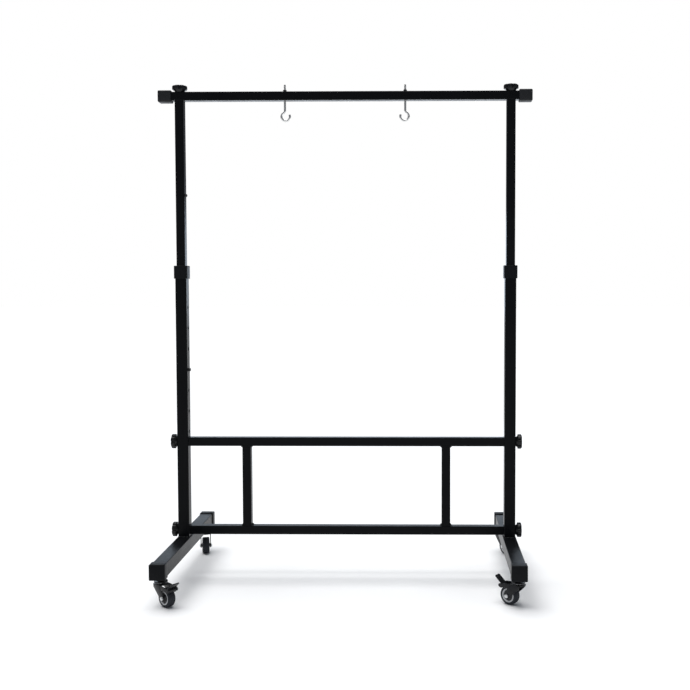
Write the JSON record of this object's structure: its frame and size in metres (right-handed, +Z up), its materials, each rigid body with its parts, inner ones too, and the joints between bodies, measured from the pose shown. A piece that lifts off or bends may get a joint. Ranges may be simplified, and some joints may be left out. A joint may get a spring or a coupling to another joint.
{
  "type": "wheeled background support stand",
  "caption": "Wheeled square-tube hanging stand: telescoping posts on castored feet, top bar with two open hooks, ladder crossbars and star knobs.",
  "frame": {"origin": "on the floor, under the middle of the bar, midway between the two feet", "axes": "+X along the bar to the right, +Y to the back, +Z up"},
  "size_m": [1.064, 0.6118, 1.4159],
  "materials": {
    "frame_paint": "satin black powder coat on square steel tube",
    "cap_plastic": "moulded black plastic, slightly grained",
    "knob_plastic": "moulded black nylon, soft gloss",
    "plug_nylon": "black nylon plug with a threaded bore",
    "bright_steel": "bright nickel-plated steel",
    "zinc_steel": "zinc-plated steel",
    "spring_steel": "oiled spring steel",
    "black_oxide": "black oxide on steel",
    "castor_black": "black coated pressed steel",
    "hub_plastic": "pale grey rim with a dark web",
    "tyre_rubber": "dark grey thermoplastic rubber tread"
  },
  "bodies": {
    "base": {"foot_tube_left": "frame_paint", "foot_tube_right": "frame_paint", "foot_end_caps": "cap_plastic", "lower_post_left": "frame_paint", "lower_post_right": "frame_paint", "post_welds": "frame_paint", "collar_left": "cap_plastic", "collar_right": "cap_plastic", "mid_crossbar": "frame_paint", "low_crossbar": "frame_paint", "ladder_upright_left": "frame_paint", "ladder_upright_right": "frame_paint", "ladder_welds": "frame_paint", "crossbar_plugs": "plug_nylon", "castor_stems": "castor_black", "castor_balls": "zinc_steel"},
    "upper_frame": {"upper_post_left": "frame_paint", "upper_post_right": "frame_paint", "top_bar": "frame_paint", "bar_end_caps": "cap_plastic", "post_top_plugs": "plug_nylon", "stop_rivets": "zinc_steel", "button_spring_left": "spring_steel", "button_spring_right": "spring_steel"},
    "snap_button_left_body": {"snap_button_left": "zinc_steel"},
    "hook_left_body": {"hook_left": "bright_steel", "hook_nut_left": "black_oxide"},
    "knob_top_left_body": {"knob_top_left": "knob_plastic", "knob_stud_top_left": "zinc_steel"},
    "knob_mid_left_body": {"knob_mid_left": "knob_plastic", "knob_stud_mid_left": "zinc_steel"},
    "knob_low_left_body": {"knob_low_left": "knob_plastic", "knob_stud_low_left": "zinc_steel"},
    "snap_button_right_body": {"snap_button_right": "zinc_steel"},
    "hook_right_body": {"hook_right": "bright_steel", "hook_nut_right": "black_oxide"},
    "knob_top_right_body": {"knob_top_right": "knob_plastic", "knob_stud_top_right": "zinc_steel"},
    "knob_mid_right_body": {"knob_mid_right": "knob_plastic", "knob_stud_mid_right": "zinc_steel"},
    "knob_low_right_body": {"knob_low_right": "knob_plastic", "knob_stud_low_right": "zinc_steel"},
    "castor_front_left_swivel": {"castor_fork_front_left": "castor_black", "castor_axle_front_left": "zinc_steel"},
    "castor_front_left_wheel": {"castor_hub_front_left": "hub_plastic", "castor_tyre_front_left": "tyre_rubber"},
    "brake_pedal_front_left_body": {"brake_pedal_front_left": "castor_black"},
    "castor_front_right_swivel": {"castor_fork_front_right": "castor_black", "castor_axle_front_right": "zinc_steel"},
    "castor_front_right_wheel": {"castor_hub_front_right": "hub_plastic", "castor_tyre_front_right": "tyre_rubber"},
    "brake_pedal_front_right_body": {"brake_pedal_front_right": "castor_black"},
    "castor_rear_left_swivel": {"castor_fork_rear_left": "castor_black", "castor_axle_rear_left": "zinc_steel"},
    "castor_rear_left_wheel": {"castor_hub_rear_left": "hub_plastic", "castor_tyre_rear_left": "tyre_rubber"},
    "castor_rear_right_swivel": {"castor_fork_rear_right": "castor_black", "castor_axle_rear_right": "zinc_steel"},
    "castor_rear_right_wheel": {"castor_hub_rear_right": "hub_plastic", "castor_tyre_rear_right": "tyre_rubber"}
  },
  "joints": [
    {"name": "height_slide", "type": "slide", "parent": "base", "child": "upper_frame", "axis": [0, 0, 1], "range_m": [-0.18, 0.18]},
    {"name": "snap_button_left_press", "type": "slide", "parent": "upper_frame", "child": "snap_button_left_body", "axis": [-1, 0, 0], "range_m": [0, 0.0082], "stiffness_N_per_m": 600, "deforming": ["button_spring_left"]},
    {"name": "hook_left_turn", "type": "hinge", "parent": "upper_frame", "child": "hook_left_body", "pos_m": [-0.1715, 0, 1.3829], "axis": [0, 0, 1], "continuous": true},
    {"name": "knob_top_left_turn", "type": "hinge", "parent": "upper_frame", "child": "knob_top_left_body", "pos_m": [-0.472, 0, 1.3954], "axis": [0, 0, 1], "continuous": true},
    {"name": "knob_mid_left_turn", "type": "hinge", "parent": "base", "child": "knob_mid_left_body", "pos_m": [-0.488, 0, 0.3943], "axis": [-1, 0, 0], "continuous": true},
    {"name": "knob_low_left_turn", "type": "hinge", "parent": "base", "child": "knob_low_left_body", "pos_m": [-0.488, 0, 0.1366], "axis": [-1, 0, 0], "continuous": true},
    {"name": "snap_button_right_press", "type": "slide", "parent": "upper_frame", "child": "snap_button_right_body", "axis": [0, -1, 0], "range_m": [0, 0.0082], "stiffness_N_per_m": 600, "deforming": ["button_spring_right"]},
    {"name": "hook_right_turn", "type": "hinge", "parent": "upper_frame", "child": "hook_right_body", "pos_m": [0.1715, 0, 1.3829], "axis": [0, 0, 1], "continuous": true},
    {"name": "knob_top_right_turn", "type": "hinge", "parent": "upper_frame", "child": "knob_top_right_body", "pos_m": [0.472, 0, 1.3954], "axis": [0, 0, 1], "continuous": true},
    {"name": "knob_mid_right_turn", "type": "hinge", "parent": "base", "child": "knob_mid_right_body", "pos_m": [0.488, 0, 0.3943], "axis": [1, 0, 0], "continuous": true},
    {"name": "knob_low_right_turn", "type": "hinge", "parent": "base", "child": "knob_low_right_body", "pos_m": [0.488, 0, 0.1366], "axis": [1, 0, 0], "continuous": true},
    {"name": "castor_front_left_swivel_turn", "type": "hinge", "parent": "base", "child": "castor_front_left_swivel", "pos_m": [-0.472, -0.26, 0.06], "axis": [0, 0, 1], "continuous": true},
    {"name": "castor_front_left_roll", "type": "hinge", "parent": "castor_front_left_swivel", "child": "castor_front_left_wheel", "pos_m": [-0.45208, -0.27671, 0.025], "axis": [0.6428, 0.766, 0], "continuous": true},
    {"name": "brake_pedal_front_left_tip", "type": "hinge", "parent": "castor_front_left_swivel", "child": "brake_pedal_front_left_body", "pos_m": [-0.43522, -0.29086, 0.04945], "axis": [0.6428, 0.766, 0], "range_deg": [0, 25]},
    {"name": "castor_front_right_swivel_turn", "type": "hinge", "parent": "base", "child": "castor_front_right_swivel", "pos_m": [0.472, -0.26, 0.06], "axis": [0, 0, 1], "continuous": true},
    {"name": "castor_front_right_roll", "type": "hinge", "parent": "castor_front_right_swivel", "child": "castor_front_right_wheel", "pos_m": [0.45208, -0.24329, 0.025], "axis": [-0.6428, -0.766, 0], "continuous": true},
    {"name": "brake_pedal_front_right_tip", "type": "hinge", "parent": "castor_front_right_swivel", "child": "brake_pedal_front_right_body", "pos_m": [0.43522, -0.22914, 0.04945], "axis": [-0.6428, -0.766, 0], "range_deg": [0, 25]},
    {"name": "castor_rear_left_swivel_turn", "type": "hinge", "parent": "base", "child": "castor_rear_left_swivel", "pos_m": [-0.472, 0.26, 0.06], "axis": [0, 0, 1], "continuous": true},
    {"name": "castor_rear_left_roll", "type": "hinge", "parent": "castor_rear_left_swivel", "child": "castor_rear_left_wheel", "pos_m": [-0.46571, 0.23477, 0.025], "axis": [0.9703, 0.2419, 0], "continuous": true},
    {"name": "castor_rear_right_swivel_turn", "type": "hinge", "parent": "base", "child": "castor_rear_right_swivel", "pos_m": [0.472, 0.26, 0.06], "axis": [0, 0, 1], "continuous": true},
    {"name": "castor_rear_right_roll", "type": "hinge", "parent": "castor_rear_right_swivel", "child": "castor_rear_right_wheel", "pos_m": [0.485, 0.23748, 0.025], "axis": [0.866, 0.5, 0], "continuous": true}
  ]
}
